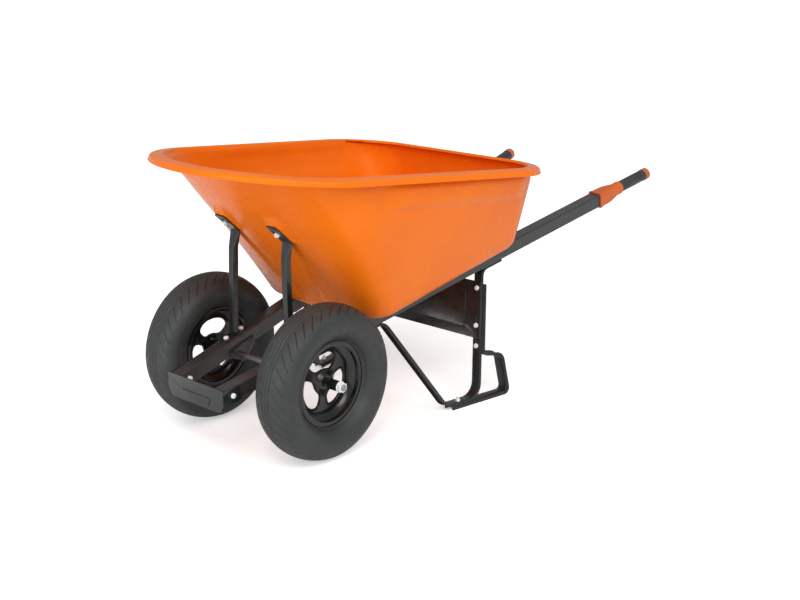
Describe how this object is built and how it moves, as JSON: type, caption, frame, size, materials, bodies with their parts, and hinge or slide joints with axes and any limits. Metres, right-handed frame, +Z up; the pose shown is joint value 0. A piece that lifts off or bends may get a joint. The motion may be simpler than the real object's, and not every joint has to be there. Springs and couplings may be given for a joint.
{
  "type": "wheelbarrow",
  "caption": "Dual-wheel contractor wheelbarrow: deep moulded tray on straight steel rails, with pneumatic wheels on one axle, strap legs with wear guards and moulded grips.",
  "frame": {"origin": "on the ground under the middle of the bounding box", "axes": "+X the way it rolls, +Y its left side, +Z up"},
  "size_m": [1.6906, 0.7732, 0.7613],
  "materials": {
    "axle_steel": "zinc-plated steel, dull",
    "bush": "moulded dark nylon",
    "collar": "moulded, matt orange",
    "frame_steel": "gloss black paint",
    "grip": "textured dark grey",
    "grip_cap": "moulded, satin orange",
    "hub_steel": "black paint",
    "inner_tube": "smooth black",
    "rail_steel": "semi-gloss black powder coat",
    "rim_steel": "gloss black paint",
    "tray": "moulded, semi-gloss orange",
    "tyre": "dull black, moulded tread",
    "valve_cap": "moulded black",
    "zinc": "bright zinc plate"
  },
  "bodies": {
    "chassis": {"axle": "axle_steel", "axle_nuts": "zinc", "axle_spacers": "axle_steel", "axle_washers": "zinc", "brace_bolts": "zinc", "brace_nuts": "zinc", "bumper": "frame_steel", "bumper_bolts": "zinc", "bumper_nuts": "zinc", "cross_plate": "frame_steel", "foot_bolts": "zinc", "foot_nuts": "zinc", "left_axle_bracket": "frame_steel", "left_brace": "frame_steel", "left_grip": "grip", "left_grip_cap": "grip_cap", "left_grip_collar": "collar", "left_leg": "frame_steel", "left_rail": "rail_steel", "left_wear_guard": "frame_steel", "leg_bolts": "zinc", "leg_nuts": "zinc", "right_axle_bracket": "frame_steel", "right_brace": "frame_steel", "right_grip": "grip", "right_grip_cap": "grip_cap", "right_grip_collar": "collar", "right_leg": "frame_steel", "right_rail": "rail_steel", "right_wear_guard": "frame_steel", "tray": "tray", "tray_bolts": "zinc", "tray_front_bolts": "zinc", "tray_front_nuts": "zinc", "tray_nuts": "zinc", "tray_washers": "zinc"},
    "left_wheel": {"left_hub": "hub_steel", "left_hub_bushes": "bush", "left_inner_tube": "inner_tube", "left_rim": "rim_steel", "left_tyre": "tyre", "left_valve_cap": "valve_cap"},
    "right_wheel": {"right_hub": "hub_steel", "right_hub_bushes": "bush", "right_inner_tube": "inner_tube", "right_rim": "rim_steel", "right_tyre": "tyre", "right_valve_cap": "valve_cap"}
  },
  "joints": [
    {"name": "left_wheel_spin", "type": "hinge", "parent": "chassis", "child": "left_wheel", "pos_m": [0.60398, 0.2155, 0.203], "axis": [0, 1, 0], "continuous": true},
    {"name": "right_wheel_spin", "type": "hinge", "parent": "chassis", "child": "right_wheel", "pos_m": [0.60398, -0.2155, 0.203], "axis": [0, 1, 0], "continuous": true}
  ]
}
